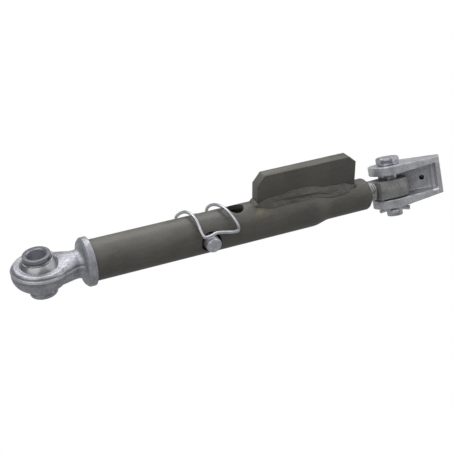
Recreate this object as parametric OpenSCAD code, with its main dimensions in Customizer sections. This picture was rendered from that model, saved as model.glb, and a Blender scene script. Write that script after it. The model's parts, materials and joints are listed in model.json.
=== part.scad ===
// Telescopic lower link stabilizer: a forged ball end slides in a steel tube,
// a spindle screws into the tube's swaged neck and carries a pinned clevis bracket.
// Origin: centre of the swivel ball. +X runs along the arm to the clevis, +Z is up.

/* [Ball end] */
// Diameter of the swivel ball
ball_d = 50; // [46:0.5:54]
// Bore of the swivel ball
ball_bore_d = 22.4; // [19:0.1:24]
// Length of the bore from hub face to hub face
ball_w = 51; // [46:0.5:56]
// Diameter of the hubs on the ball
hub_d = 32; // [30:0.5:34]
// Tilt of the ball in its eye as it lies in the picture, in degrees
ball_tilt = 5; // [-10:0.5:10]
// Outer diameter of the eye
eye_od = 65.8; // [62:0.2:72]
// Width of the eye between its flat faces
eye_w = 23.8; // [22:0.2:26]
// Ball centre to the upper flat face of the eye
eye_up = 12.2; // [11:0.1:14]
// Ball centre to the parting ridge around the eye
ridge_up = 5.5; // [4:0.1:8]
// Diameter of the neck behind the eye
neck_d = 32.4; // [28:0.2:36]
// Diameter of the stop collar
collar_d = 57.4; // [52:0.2:64]
// Thickness of the stop collar
collar_t = 10; // [7:0.5:13]
// Ball centre to the collar face that meets the tube
collar_x = 58.4; // [54:0.2:64]

/* [Slide bar] */
// Length of the bar inside the tube
bar_len = 218; // [212:1:240]
// Sway travel that the slot in the bar allows
slot_travel = 18; // [10:1:20]

/* [Tube] */
// Outside diameter of the tube
tube_od = 48.3; // [46:0.1:52]
// Wall of the tube
tube_wall = 5; // [4:0.1:6]
// Length of the tube at full diameter
tube_len = 284.3; // [275:0.1:310]
// Length of the cone down to the neck
swage_len = 18; // [12:0.5:24]
// Outside diameter of the swaged neck
tube_neck_od = 40.2; // [36:0.2:42]
// Length of the swaged neck
tube_neck_len = 60.7; // [50:0.1:75]
// Rounding of the neck's outer end
neck_round = 4; // [2:0.5:5]

/* [Turning plate] */
// Thickness of the turning plate
plate_t = 14; // [10:0.5:16]
// Height of the plate's top edge above the tube
plate_rise = 36.9; // [28:0.1:50]
// Tube end to the plate's near end
plate_inset = 207.3; // [202:0.1:215]
// Plate's far end to the tube's far end
plate_end_gap = 20.9; // [10:0.1:40]
// Length of the plate's corner cut near the ball
cut_a_x = 9.6; // [4:0.2:16]
// Height of the plate's corner cut near the ball
cut_a_z = 12; // [4:0.2:18]
// Length of the plate's corner cut near the clevis
cut_b_x = 10.4; // [4:0.2:16]
// Height of the plate's corner cut near the clevis
cut_b_z = 8.2; // [4:0.2:18]
// Leg of the weld beads along both sides of the plate's foot
weld_r = 7; // [4:0.1:8]
// Leg of the weld beads across the plate's ends
end_weld_r = 3.8; // [3:0.1:6]

/* [Lock pin] */
// Diameter of the lock pin
pin_d = 18.7; // [17:0.1:19.5]
// Diameter of the cross holes that fit the pin closely
pin_hole_d = 20; // [20:0.1:20.8]
// Diameter of the wide cross holes for the swaying position
sway_hole_d = 25.5; // [23:0.1:26]
// Tube end to the wide cross holes
sway_inset = 139.8; // [130:0.2:150]
// Distance between the two pairs of cross holes
hole_pitch = 42; // [40:0.5:44]
// Reach of the pin in front of the tube
pin_reach = 9.2; // [8:0.1:14]
// Bevel on the pin's front end
pin_bevel = 2; // [1:0.2:3]
// Diameter of the pin's head
head_d = 26.5; // [26.5:0.5:32]
// Length of the pin's head
head_len = 2.5; // [2:0.5:6]
// Diameter of the stub behind the head, which carries the wire
stub_d = 10; // [9:0.5:14]
// Length of the stub behind the head
stub_len = 11; // [9:0.5:12]

/* [Wire bow] */
// Diameter of the wire
wire_d = 3.8; // [3:0.1:4]
// Reach of the bow's crossbar in front of the tube
bow_reach = 4.4; // [4:0.1:6]
// Height of the bow's legs over the tube
bow_rise = 6.4; // [5.5:0.1:12]
// Spread of the bow's ends on each side of the pin
bow_half = 20; // [17:0.5:24]
// Further spread of the bow's front on each side
bow_splay = 2; // [0:0.5:4]
// Lean of the bow's front towards the clevis
bow_lean = 10; // [6:0.5:12]

/* [Spindle] */
// Outside diameter of the spindle's thread
thread_d = 24; // [22:0.1:26]
// Length of thread inside the tube's neck and bore
thread_in = 86; // [75:1:100]
// Thread that shows between the tube and the pivot eye
thread_out = 12.6; // [10:0.2:22]
// Height of the pivot eye along the clevis pin
pivot_h = 22.5; // [18:0.5:24]
// Radius of the pivot eye's round end
pivot_r = 22.5; // [20:0.5:23]
// Width of the pivot eye at its shoulder
pivot_w = 40; // [34:0.5:44]
// Clevis pin to the shoulder of the pivot eye
pivot_len = 26.7; // [25:0.1:32]
// Draft of the pivot eye's sides from the parting line to each face
pivot_draft = 1.3; // [0.4:0.1:2]

/* [Clevis bracket] */
// Roll of the clevis about the arm, in degrees
clevis_roll = 23; // [0:1:30]
// Height of the bracket's mid plane over the pivot eye's
bracket_rise = 2.6; // [1:0.1:2.8]
// Rise of the flanges' mid plane from the pin to the far end
flange_rise = 1.9; // [0.5:0.1:2.5]
// Inner gap between the bracket's ears
ear_gap = 31; // [29:0.5:32]
// Thickness of each ear at the pin
ear_t = 11.1; // [9:0.1:13]
// Loss of half the bracket's height from the pin to the far end
flange_taper = 3.1; // [1:0.1:4]
// Growth of half the inner gap from the pin to the far end
pocket_flare = 0.8; // [0.3:0.1:1.5]
// Radius of the ears around the pin
ear_r = 25; // [23:0.5:26]
// Distance from the clevis pin to the centre of the ears' round end
ear_shift = 1.1; // [0:0.1:3]
// Clevis pin to the crease where the flat front begins
crease_x = 6; // [2:0.5:9]
// Clevis pin to the far end of the bracket, along the web
bracket_len = 64.4; // [58:0.1:75]
// Reach of the flanges in front of the pin at the far end
flange_front = 20.6; // [18:0.1:22]
// Thickness of the lip that closes the pocket at the far end
lip_t = 5.8; // [3:0.1:8]
// Angle of the web to the arm, in degrees
web_angle = 33; // [28:1:36]
// Clevis pin to the inner face of the web
web_in = 26.5; // [26:0.5:30]
// Thickness of the web
web_t = 15; // [10:0.5:16]
// Reach of the web past the clevis pin towards the tube
web_near = 16; // [12:0.5:18]
// Cut across the web's rear corner towards the tube
web_cut = 12; // [6:0.5:14]
// Clevis pin to the small hole, along the web
small_hole_at = 39.5; // [34:0.5:43]
// Diameter of the small blind hole in the web
small_hole_d = 6; // [4:0.2:8]
// Depth of the small blind hole
small_hole_depth = 10; // [6:0.5:11]

/* [Clevis pin] */
// Diameter of the clevis pin
cpin_d = 20; // [18:0.1:21]
// Width across flats of the clevis pin's head
cpin_head_af = 25.5; // [23:0.5:28]
// Height of the clevis pin's head
cpin_head_h = 9.5; // [7:0.5:11]
// Turn of the clevis pin and its cotter about their axis, in degrees
cpin_turn = 33; // [0:1:60]
// Length of the clevis pin below the lower ear
cpin_tail = 12.5; // [11:0.5:16]
// Diameter of the cotter pin
cotter_d = 6; // [5:0.1:6.3]
// Length of each bent cotter leg
cotter_leg = 15.5; // [10:0.5:18]
// Droop of the bent cotter legs, in degrees
cotter_droop = 12; // [5:1:20]

/* [Hidden] */
$fn = 72;

// Radial clearance of every pin, bar and thread that runs in a bore
run_fit = 0.08;
// Gap between pieces that lie against each other without touching
seat_gap = 0.3;
// Overreach of a cutting shape past the face that it cuts
over = 1;
// Small bevel that breaks a turned edge
edge = 0.5;

tube_r = tube_od / 2;
bore_r = tube_r - tube_wall;
tube_neck_r = tube_neck_od / 2;
tube_x = collar_x + seat_gap;
swage_x = tube_x + tube_len;
tube_neck_x = swage_x + swage_len;
tube_end_x = tube_neck_x + tube_neck_len;
thread_r = thread_d / 2;
thread_bore_r = thread_r + run_fit;

bar_r = bore_r - run_fit;
sway_x = tube_x + sway_inset;
fixed_x = sway_x + hole_pitch;
pin_r = pin_d / 2;

plate_x = tube_x + plate_inset;
plate_end_x = tube_end_x - plate_end_gap;
plate_top = tube_r + plate_rise;

pin_front = tube_r + pin_reach;
head_y = tube_r + seat_gap;
stub_y = head_y + head_len;
pivot_y = stub_y + stub_len / 2;
bow_front = tube_r + bow_reach;
bow_top = tube_r + bow_rise;

pivot_x = tube_end_x + thread_out;
clevis_x = pivot_x + pivot_len;
cpin_r = cpin_d / 2;
ear_half = ear_gap / 2 + ear_t;
ear_top = bracket_rise + ear_half;
ear_foot = bracket_rise - ear_half;
// Gap between the lower ear and the cotter
cotter_gap = 1.3;
cotter_z = ear_foot - cotter_gap - cotter_d / 2;

steel_paint = [0.38, 0.37, 0.33];
zinc_dull = [0.58, 0.59, 0.61];
zinc_bright = [0.74, 0.75, 0.78];
steel_bare = [0.55, 0.54, 0.50];

// Turns a shape made about +Z so that it lies about +X
module along_x(x = 0) {
    translate([x, 0, 0]) rotate([0, 90, 0]) children();
}

// Turns a shape made about +Z so that it lies about +Y
module along_y(y = 0) {
    translate([0, y, 0]) rotate([-90, 0, 0]) children();
}

// Places a shape in the clevis frame: x along the arm, y to the rear, z along the clevis pin
module at_clevis() {
    translate([clevis_x, 0, 0]) rotate([-clevis_roll, 0, 0]) children();
}

// Round rod about +Z with both ends bevelled
module bevelled_rod(r, h, bevel) {
    rotate_extrude() polygon([
        [0, 0], [r - bevel, 0], [r, bevel], [r, h - bevel], [r - bevel, h], [0, h]
    ]);
}

// Forged eye, neck and stop collar in one piece
eye_r = eye_od / 2;
eye_foot = eye_up - eye_w;
seat_r = ball_d / 2 + run_fit;
// Height of the parting ridge over the forging's skin, and half its width
ridge_h = 0.5;
neck_r = neck_d / 2;
collar_r = collar_d / 2;
// Radius of the hollow flare between neck and collar
flare_r = 8;
// Bevel on the collar's outer edge towards the ball
collar_bevel = 3;
// Step from the eye's flat faces to the root of the neck
neck_step = 1.5;

// Section of the eye: steep over the parting ridge, full and round under it
module eye_ring() {
    rotate_extrude() polygon([
        [0, eye_up], [eye_r - 5.4, eye_up], [eye_r - 3.9, eye_up - 0.7], [eye_r - 1.3, ridge_up + 2.8],
        [eye_r - ridge_h, ridge_up + 1.2], [eye_r, ridge_up + ridge_h], [eye_r, ridge_up - ridge_h],
        [eye_r - ridge_h, ridge_up - 1.2], [eye_r - 0.6, 0], [eye_r - 1.5, eye_foot * 0.35],
        [eye_r - 3.4, eye_foot * 0.66], [eye_r - 5.8, eye_foot * 0.9], [eye_r - 7.4, eye_foot],
        [0, eye_foot]
    ]);
}

module eye_neck() {
    hull() {
        along_x(collar_x - collar_t - flare_r / 2) cylinder(r = neck_r, h = over, $fn = 32);
        translate([eye_r - neck_r - neck_step, 0, eye_foot + neck_step])
            cylinder(r = neck_r - edge, h = eye_w - 2 * neck_step, $fn = 32);
    }
    along_x(collar_x - collar_t - flare_r) rotate_extrude() difference() {
        square([neck_r + flare_r, flare_r]);
        translate([neck_r + flare_r, 0]) circle(flare_r);
    }
}

module stop_collar() {
    along_x(collar_x - collar_t) rotate_extrude() polygon([
        [0, 0], [collar_r - collar_bevel, 0], [collar_r, collar_bevel],
        [collar_r, collar_t - edge], [collar_r - edge, collar_t], [0, collar_t]
    ]);
}

module eye_forging() {
    color(zinc_dull) difference() {
        union() {
            eye_ring();
            eye_neck();
            stop_collar();
        }
        sphere(seat_r);
    }
}

// Turned bar that slides in the tube, with the sway slot and the close cross hole
bar_bevel = 2;

module slide_bar() {
    color(zinc_dull) difference() {
        along_x(collar_x) bevelled_rod(bar_r, bar_len, bar_bevel);
        hull() for (x = [sway_x, sway_x + slot_travel])
            translate([x, 0, 0]) along_y(-tube_r) cylinder(d = pin_hole_d, h = tube_od, $fn = 32);
        translate([fixed_x, 0, -tube_r]) cylinder(d = pin_hole_d, h = tube_od);
    }
}

// Ball with a hub on each side, free to tilt in the eye
hub_groove = 1.8;
bore_bevel = 0.6;

module swivel_ball() {
    hub_foot = sqrt(pow(ball_d / 2, 2) - pow(hub_d / 2, 2));
    color(zinc_bright) rotate([0, -ball_tilt, 0]) difference() {
        union() {
            sphere(ball_d / 2);
            translate([0, 0, -ball_w / 2]) bevelled_rod(hub_d / 2, ball_w, bore_bevel);
        }
        for (side = [-1, 1])
            translate([0, 0, side * (hub_foot + hub_groove / 2)])
                rotate_extrude() translate([hub_d / 2 + hub_groove / 2, 0]) circle(hub_groove);
        cylinder(d = ball_bore_d, h = ball_w + 2 * over, center = true);
        for (side = [0, 180]) rotate([side, 0, 0]) translate([0, 0, ball_w / 2 - bore_bevel])
            cylinder(r1 = ball_bore_d / 2, r2 = ball_bore_d / 2 + 2 * bore_bevel, h = 2 * bore_bevel);
    }
}

// Tube, swaged at one end to take the spindle's thread
module tube_outline() {
    difference() {
        polygon([
            [0, tube_x], [tube_r, tube_x], [tube_r, swage_x], [tube_neck_r, tube_neck_x],
            [tube_neck_r, tube_end_x], [0, tube_end_x]
        ]);
        translate([tube_neck_r - neck_round, tube_end_x - neck_round]) difference() {
            square(neck_round + over);
            circle(neck_round);
        }
    }
}

module tube_solid() {
    along_x() rotate_extrude() tube_outline();
}

module outer_tube() {
    color(steel_paint) difference() {
        tube_solid();
        along_x() rotate_extrude() polygon([
            [0, tube_x - over], [bore_r, tube_x - over], [bore_r, swage_x],
            [thread_bore_r, tube_neck_x], [thread_bore_r, tube_end_x + over], [0, tube_end_x + over]
        ]);
        translate([sway_x, 0, 0]) along_y(-tube_od) cylinder(d = sway_hole_d, h = 2 * tube_od);
        translate([fixed_x, 0, -tube_od]) cylinder(d = pin_hole_d, h = 2 * tube_od);
    }
}

// Flat plate on top of the tube, by which the tube is turned
module plate_solid() {
    rotate([90, 0, 0]) linear_extrude(plate_t, center = true) polygon([
        [plate_x, 0], [plate_x, plate_top - cut_a_z], [plate_x + cut_a_x, plate_top],
        [plate_end_x - cut_b_x, plate_top], [plate_end_x, plate_top - cut_b_z], [plate_end_x, 0]
    ]);
}

module turning_plate() {
    color(steel_paint) difference() {
        plate_solid();
        tube_solid();
    }
}

// Room that a side weld leaves for the plate, longer than the plate at both ends
module plate_room() {
    translate([plate_x - weld_r, -plate_t / 2, 0])
        cube([plate_end_x - plate_x + 2 * weld_r, plate_t, plate_top]);
}

// Weld bead along one foot of the plate, following tube, cone and neck
module weld_side(side) {
    weld_y = side * (plate_t / 2);
    foot_z = sqrt(pow(tube_r, 2) - pow(plate_t / 2, 2));
    neck_foot_z = sqrt(pow(tube_neck_r, 2) - pow(plate_t / 2, 2));
    cone_dz = foot_z - neck_foot_z;
    cone_tilt = atan(cone_dz / swage_len);
    miter = weld_r * tan(cone_tilt);
    difference() {
        union() {
            translate([plate_x, weld_y, foot_z]) along_x()
                cylinder(r = weld_r, h = swage_x + miter - plate_x);
            translate([swage_x, weld_y, foot_z]) rotate([0, 90 + cone_tilt, 0])
                translate([0, 0, -miter])
                    cylinder(r = weld_r, h = norm([swage_len, cone_dz]) + 2 * miter);
            translate([tube_neck_x - miter, weld_y, neck_foot_z]) along_x()
                cylinder(r = weld_r, h = plate_end_x - tube_neck_x + miter);
        }
        plate_room();
        tube_solid();
    }
}

// Weld bead across one end of the plate
module weld_end(x, foot_z) {
    difference() {
        translate([x, 0, foot_z]) along_y(-plate_t / 2) cylinder(r = end_weld_r, h = plate_t);
        plate_solid();
        tube_solid();
    }
}

module weld_front() {
    color(steel_paint) weld_side(-1);
}

module weld_rear() {
    color(steel_paint) weld_side(1);
}

module weld_near_end() {
    color(steel_paint) weld_end(plate_x, tube_r);
}

module weld_far_end() {
    color(steel_paint) weld_end(plate_end_x, tube_neck_r);
}

// Lock pin through tube and bar, with a head behind the tube and a stub that carries the wire
wire_hole_d = wire_d + 2 * run_fit;

module lock_pin() {
    color(zinc_dull) translate([sway_x, 0, 0]) difference() {
        union() {
            along_y(-pin_front) bevelled_rod(pin_r, pin_front + head_y + over, pin_bevel);
            along_y(head_y) bevelled_rod(head_d / 2, head_len, edge);
            along_y(head_y + edge) bevelled_rod(stub_d / 2, head_len + stub_len - edge, edge);
        }
        translate([0, pivot_y, 0]) along_x(-stub_d) cylinder(d = wire_hole_d, h = 2 * stub_d);
    }
}

// Wire bow: both ends turn in the pin's stub, the crossbar rests over the pin's front end
bar_z = pin_r + wire_d / 2 + seat_gap;
// Length of wire that each end has inside the stub
wire_in = 3.5;
left_x = bow_lean - bow_half - bow_splay;
right_x = bow_lean + bow_half + bow_splay;
bar_span = right_x - left_x;
// Height by which the crossbar waves where it was bent round the pin
bar_wave = 3;
// The wire's route, from one end over the tube, along the crossbar and back
bow_points = [
    [-stub_d / 2 + wire_in, pivot_y, 0],
    [-bow_half, pivot_y, 0],
    [-bow_half, pivot_y + 5, 7],
    [-bow_half + 0.5, tube_r + 1, bow_top - 12],
    [-bow_half + 2.5, tube_r / 2, bow_top - 3],
    [-bow_half + 5, -1, bow_top - 0.5],
    [left_x - 1.5, -tube_r / 2 - 1, bow_top - 4],
    [left_x - 1, -tube_r + 3.5, bow_top - 12],
    [left_x, -bow_front, bar_z + bar_wave / 3],
    [left_x + bar_span / 11, -bow_front, bar_z],
    [left_x + bar_span * 0.215, -bow_front, bar_z],
    [left_x + bar_span * 0.34, -bow_front, bar_z + bar_wave],
    [left_x + bar_span * 0.525, -bow_front, bar_z + bar_wave * 2 / 3],
    [right_x - bar_span / 22, -bow_front, bar_z - bar_wave * 5 / 6],
    [right_x + bar_span / 44, -bow_front, bar_z],
    [right_x + 0.5, -bow_front + 2.5, bow_top - 13],
    [right_x - 3, -tube_r + 8.5, bow_top - 4.5],
    [right_x - 6.5, -5, bow_top - 0.5],
    [bow_half + 2.5, tube_r / 2 - 3, bow_top - 2],
    [bow_half + 0.5, tube_r, bow_top - 9.5],
    [bow_half, pivot_y + 4, 9],
    [bow_half, pivot_y, 0],
    [stub_d / 2 - wire_in, pivot_y, 0]
];

// Rounds the corners of a path by cutting each corner at a quarter of both its sides
function cut_corners(p) = [
    p[0],
    for (i = [0 : len(p) - 2]) each [p[i] * 0.75 + p[i + 1] * 0.25, p[i] * 0.25 + p[i + 1] * 0.75],
    p[len(p) - 1]
];

function unit(v) = v / norm(v);

// Direction of a path at one of its points
function path_way(p, i) = unit(p[min(i + 1, len(p) - 1)] - p[max(i - 1, 0)]);

// Side direction carried along the path without twist
function path_sides(p, i = 0, side = [0, 0, 1], out = []) = i == len(p) ? out :
    let (way = path_way(p, i), flat = unit(side - way * (side * way)))
    path_sides(p, i + 1, flat, concat(out, [flat]));

// Round wire along a path
module wire(path, d, sides = 12) {
    count = len(path);
    side = path_sides(path);
    points = [
        for (i = [0 : count - 1]) let (up = cross(path_way(path, i), side[i]))
            for (k = [0 : sides - 1]) let (turn = k * 360 / sides)
                path[i] + (side[i] * cos(turn) + up * sin(turn)) * d / 2
    ];
    faces = [
        [for (k = [sides - 1 : -1 : 0]) k],
        for (i = [0 : count - 2]) for (k = [0 : sides - 1]) let (n = (k + 1) % sides)
            [i * sides + k, i * sides + n, (i + 1) * sides + n, (i + 1) * sides + k],
        [for (k = [0 : sides - 1]) (count - 1) * sides + k]
    ];
    polyhedron(points, faces);
}

module wire_bow() {
    color(zinc_bright) translate([sway_x, 0, 0]) wire(cut_corners(cut_corners(bow_points)), wire_d);
}

// Threaded rod of the spindle
thread_bevel = 2;

module threaded_rod() {
    color(zinc_bright) along_x(tube_end_x - thread_in)
        bevelled_rod(thread_r, thread_in + thread_out, thread_bevel);
}

// Forged pivot eye at the end of the rod, drafted from its parting line to both faces
slice_t = 0.1;

module pivot_slice(z, inset) {
    translate([0, 0, z]) linear_extrude(slice_t, center = true) union() {
        circle(pivot_r - inset);
        translate([-pivot_len, -pivot_w / 2 + inset]) square([pivot_len, pivot_w - 2 * inset]);
    }
}

module pivot_eye() {
    color(steel_bare) at_clevis() difference() {
        hull() {
            for (side = [-1, 1]) pivot_slice(side * (pivot_h - slice_t) / 2, pivot_draft);
            pivot_slice(0, 0);
        }
        cylinder(r = cpin_r + run_fit, h = pivot_h + 2 * over, center = true);
    }
}

// Forged clevis bracket: two ears and flanges joined by a slanted web, open to the front
back = web_in + web_t;
crease_y = sqrt(pow(ear_r, 2) - pow(crease_x + ear_shift, 2));
front_slope = (crease_y - flange_front) / (crease_x + bracket_len);

// Front edge of the flanges at a distance x from the pin
function front_y(x) = -flange_front - (bracket_len - x) * front_slope;

// Outline of the web and flanges, drawn along the web: x to the far end, y to the rear
module web_plan() {
    rotate(-web_angle) polygon([
        [-web_near, -2 * ear_r], [bracket_len, -2 * ear_r], [bracket_len, back],
        [-web_near + web_cut, back], [-web_near, back - web_cut]
    ]);
}

module bracket_plan() {
    far = 2 * bracket_len;
    intersection() {
        union() {
            translate([-ear_shift, 0]) circle(ear_r);
            intersection() {
                web_plan();
                polygon([[0, -ear_r], [far, -ear_r], [far, far], [-ear_r, far], [-ear_r, 0]]);
            }
        }
        polygon([[-far, front_y(-far)], [far, front_y(far)], [far, far], [-far, far]]);
    }
}

// Gap between the ears, and the pocket between the flanges up to the lip
module bracket_pocket_plan() {
    far = 2 * bracket_len;
    rotate(-web_angle) translate([-far, -far]) square([far + bracket_len - lip_t, far + web_in]);
}

// Side outline: half height at the pin and at the far end, where the mid plane has risen
module bracket_side(near, far) {
    far_top = 2 * (far + flange_rise) - near;
    far_foot = 2 * (far - flange_rise) - near;
    translate([0, 2 * back, bracket_rise]) rotate([90, 0, 0]) linear_extrude(4 * back) polygon([
        [-2 * bracket_len, near], [0, near], [2 * bracket_len, far_top],
        [2 * bracket_len, -far_foot], [0, -near], [-2 * bracket_len, -near]
    ]);
}

module bracket_prism() {
    translate([0, 0, bracket_rise]) linear_extrude(4 * ear_half, center = true) children();
}

module clevis_bracket() {
    color(zinc_dull) at_clevis() difference() {
        intersection() {
            bracket_prism() bracket_plan();
            bracket_side(ear_half, ear_half - flange_taper);
        }
        intersection() {
            bracket_prism() bracket_pocket_plan();
            bracket_side(ear_gap / 2, ear_gap / 2 + pocket_flare);
        }
        cylinder(r = cpin_r + run_fit, h = 4 * ear_half, center = true);
        rotate([0, 0, -web_angle]) translate([small_hole_at, web_in - over, bracket_rise]) along_y()
            cylinder(d = small_hole_d, h = small_hole_depth + over);
    }
}

// Clevis pin with a hexagon head above the upper ear, and a cross hole for the cotter
cotter_hole_d = cotter_d + 2 * run_fit;
head_corner_r = cpin_head_af / 2 / cos(30);
// Turn of the hexagon against the cross hole, in degrees
hexagon_turn = 58;

module clevis_pin() {
    color(zinc_bright) at_clevis() rotate([0, 0, -cpin_turn]) difference() {
        union() {
            translate([0, 0, ear_foot - cpin_tail])
                bevelled_rod(cpin_r, cpin_tail + 2 * ear_half + seat_gap + over, 2 * edge);
            translate([0, 0, ear_top + seat_gap]) intersection() {
                rotate([0, 0, hexagon_turn]) cylinder(r = head_corner_r, h = cpin_head_h, $fn = 6);
                bevelled_rod(head_corner_r + edge, cpin_head_h, pin_bevel);
            }
        }
        translate([0, 0, cotter_z]) along_y(-cpin_d) cylinder(d = cotter_hole_d, h = 2 * cpin_d);
    }
}

// Cotter pin: eye in front of the clevis pin, legs bent apart behind it
cotter_r = cotter_d / 2;
// Inner radius of the cotter's eye
cotter_eye_r = 2.8;
// Inner radius of the bend in each leg
cotter_bend_r = 2;
// Angle of the bend in each leg
cotter_bend = 80;
// Half the gap between the legs, and what the two halves lose where they run together
cotter_slit = 0.2;

module half_round() {
    intersection() {
        circle(cotter_r);
        translate([0, -cotter_r]) square([cotter_r, cotter_d]);
    }
}

module cotter_leg_bent() {
    bend_mid = cotter_bend_r + cotter_r;
    translate([bend_mid + cotter_slit, 0, 0]) rotate([0, 0, 180 - cotter_bend]) {
        rotate_extrude(angle = cotter_bend) translate([bend_mid, 0]) mirror([1, 0]) half_round();
        rotate([90, 0, 0]) linear_extrude(cotter_leg)
            translate([bend_mid, 0]) mirror([1, 0]) half_round();
    }
}

module cotter_pin() {
    eye_y = -cpin_r - seat_gap - cotter_r - cotter_eye_r;
    shank_y = eye_y + cotter_eye_r + over;
    bend_y = cpin_r + seat_gap;
    color(zinc_bright) at_clevis() rotate([0, 0, -cpin_turn]) translate([0, 0, cotter_z]) {
        translate([0, eye_y, 0]) rotate_extrude() translate([cotter_eye_r, 0]) half_round();
        along_y(shank_y) cylinder(r = cotter_r - cotter_slit, h = bend_y + over - shank_y);
        for (side = [0, 1]) mirror([side, 0, 0]) translate([0, bend_y, 0])
            rotate([0, cotter_droop, 0]) cotter_leg_bent();
    }
}

eye_forging();
slide_bar();
swivel_ball();
outer_tube();
turning_plate();
weld_front();
weld_rear();
weld_near_end();
weld_far_end();
lock_pin();
wire_bow();
threaded_rod();
pivot_eye();
clevis_bracket();
clevis_pin();
cotter_pin();
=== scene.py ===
# Lower link stabilizer: every piece of the arm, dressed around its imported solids.
import json
from math import cos, hypot, pi, radians, sin, sqrt

import bmesh
import bpy
from mathutils import Matrix, Vector


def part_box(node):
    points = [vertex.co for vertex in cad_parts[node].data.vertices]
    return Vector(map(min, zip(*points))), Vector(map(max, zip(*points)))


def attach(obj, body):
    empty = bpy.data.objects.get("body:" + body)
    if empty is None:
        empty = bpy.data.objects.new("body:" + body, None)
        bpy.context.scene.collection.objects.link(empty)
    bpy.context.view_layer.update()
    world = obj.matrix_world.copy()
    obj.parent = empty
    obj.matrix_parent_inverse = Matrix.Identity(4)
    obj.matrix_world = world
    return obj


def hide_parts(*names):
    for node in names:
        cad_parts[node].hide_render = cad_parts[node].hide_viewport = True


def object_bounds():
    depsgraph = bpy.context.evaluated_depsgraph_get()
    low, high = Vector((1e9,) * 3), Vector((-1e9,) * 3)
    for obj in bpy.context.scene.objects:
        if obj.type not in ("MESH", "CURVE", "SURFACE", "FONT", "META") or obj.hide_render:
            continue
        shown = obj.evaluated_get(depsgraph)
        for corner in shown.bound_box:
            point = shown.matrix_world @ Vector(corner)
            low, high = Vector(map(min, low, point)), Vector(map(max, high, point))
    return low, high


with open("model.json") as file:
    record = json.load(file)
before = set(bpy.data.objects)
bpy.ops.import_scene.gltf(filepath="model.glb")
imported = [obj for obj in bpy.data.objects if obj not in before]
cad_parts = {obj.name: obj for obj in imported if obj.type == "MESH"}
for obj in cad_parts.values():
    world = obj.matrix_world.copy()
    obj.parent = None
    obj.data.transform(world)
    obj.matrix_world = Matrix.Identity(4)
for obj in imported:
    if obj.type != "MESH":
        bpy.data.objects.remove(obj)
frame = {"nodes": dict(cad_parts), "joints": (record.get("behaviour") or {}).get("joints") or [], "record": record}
solids = frame["nodes"]
cad_low, cad_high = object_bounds()
MM = 0.001

# The tube: hot rolled steel pipe, swaged down at the clevis end and cross drilled. It is
# sprayed with a satin olive grey paint that pools in soft clouds and shows a faint peel.
PAINT_DARK = (0.086, 0.082, 0.071)
PAINT_LIGHT = (0.128, 0.123, 0.107)
PAINT_DUST = (0.160, 0.154, 0.138)
PAINT_YELLOW = (0.235, 0.200, 0.105)
TINT_AT = (269 * MM, -14 * MM, 19 * MM)
TINT_FROM, TINT_TO = 1 * MM, 10 * MM
SWAGE_X = 343.0 * MM
SWAGE_LEN = 18.0 * MM
SWAGE_EASE = 3.0 * MM
NECK_R = 20.1 * MM
NECK_ROUND = 4.0 * MM
NECK_BORE_R = 12.08 * MM
TUBE_BORE_R = 19.15 * MM
TURNED_EDGE = 0.4 * MM
LONG_STEPS, SWAGE_STEPS, NECK_STEPS = 44, 16, 6
ON_AXIS = 0.0002 * MM
SWAY_X, SWAY_HOLE_R = 198.5 * MM, 12.75 * MM
FIXED_X, FIXED_HOLE_R = 240.5 * MM, 10.0 * MM


class Flow:
    """A socket that a node tree gives out, so that maths on it reads as plain Python."""

    def __init__(self, tree, socket):
        self.tree = tree
        self.socket = socket

    def node(self, kind, settings=None, inputs=None, output=0):
        """Adds a node, sets it up, feeds its inputs and returns one of its outputs."""
        made = self.tree.nodes.new(kind)
        for name, value in (settings or {}).items():
            setattr(made, name, value)
        for key, value in (inputs or {}).items():
            if isinstance(value, Flow):
                self.tree.links.new(value.socket, made.inputs[key])
            else:
                made.inputs[key].default_value = value
        return Flow(self.tree, made.outputs[output])

    def maths(self, operation, first, second=0.0):
        return self.node("ShaderNodeMath", {"operation": operation}, {0: first, 1: second})

    def __add__(self, other):
        return self.maths("ADD", self, other)

    def __radd__(self, other):
        return self.maths("ADD", other, self)

    def __sub__(self, other):
        return self.maths("SUBTRACT", self, other)

    def __rsub__(self, other):
        return self.maths("SUBTRACT", other, self)

    def __mul__(self, other):
        return self.maths("MULTIPLY", self, other)

    def __rmul__(self, other):
        return self.maths("MULTIPLY", other, self)

    def __truediv__(self, other):
        return self.maths("DIVIDE", self, other)

    def absolute(self):
        return self.maths("ABSOLUTE", self)

    def step(self, low, high):
        """0 below low, 1 above high and a smooth rise between them."""
        return self.node(
            "ShaderNodeMapRange", {"interpolation_type": "SMOOTHSTEP"},
            {"Value": self, "From Min": low, "From Max": high},
        )

    def colour(self, low, high):
        """The colour low where this value is 0, high where it is 1."""
        low, high = (c if isinstance(c, Flow) else (*c, 1.0) for c in (low, high))
        return self.node("ShaderNodeMix", {"data_type": "RGBA"}, {0: self, 6: low, 7: high}, 2)

    def part(self, axis):
        """One coordinate of a vector: 0, 1 or 2 for X, Y or Z."""
        return self.node("ShaderNodeSeparateXYZ", None, {0: self}, axis)

    def vector(self, operation, inputs, output=0):
        kind = {"operation": operation}
        return self.node("ShaderNodeVectorMath", kind, {0: self, **inputs}, output)

    def moved(self, offset):
        return self.vector("SUBTRACT", {1: offset})

    def stretched(self, factors):
        return self.vector("MULTIPLY", {1: factors})

    def scaled(self, factor):
        return self.vector("SCALE", {"Scale": factor})

    def cross(self, other):
        return self.vector("CROSS_PRODUCT", {1: other})

    def dot(self, other):
        return self.vector("DOT_PRODUCT", {1: other}, 1)

    def length(self):
        return self.vector("LENGTH", {}, 1)

    def noise(self, scale, detail=3.0):
        """Soft noise from 0 to 1 at a position, with about scale lumps a metre."""
        return self.node(
            "ShaderNodeTexNoise", None, {"Vector": self, "Scale": scale, "Detail": detail}
        )


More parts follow.
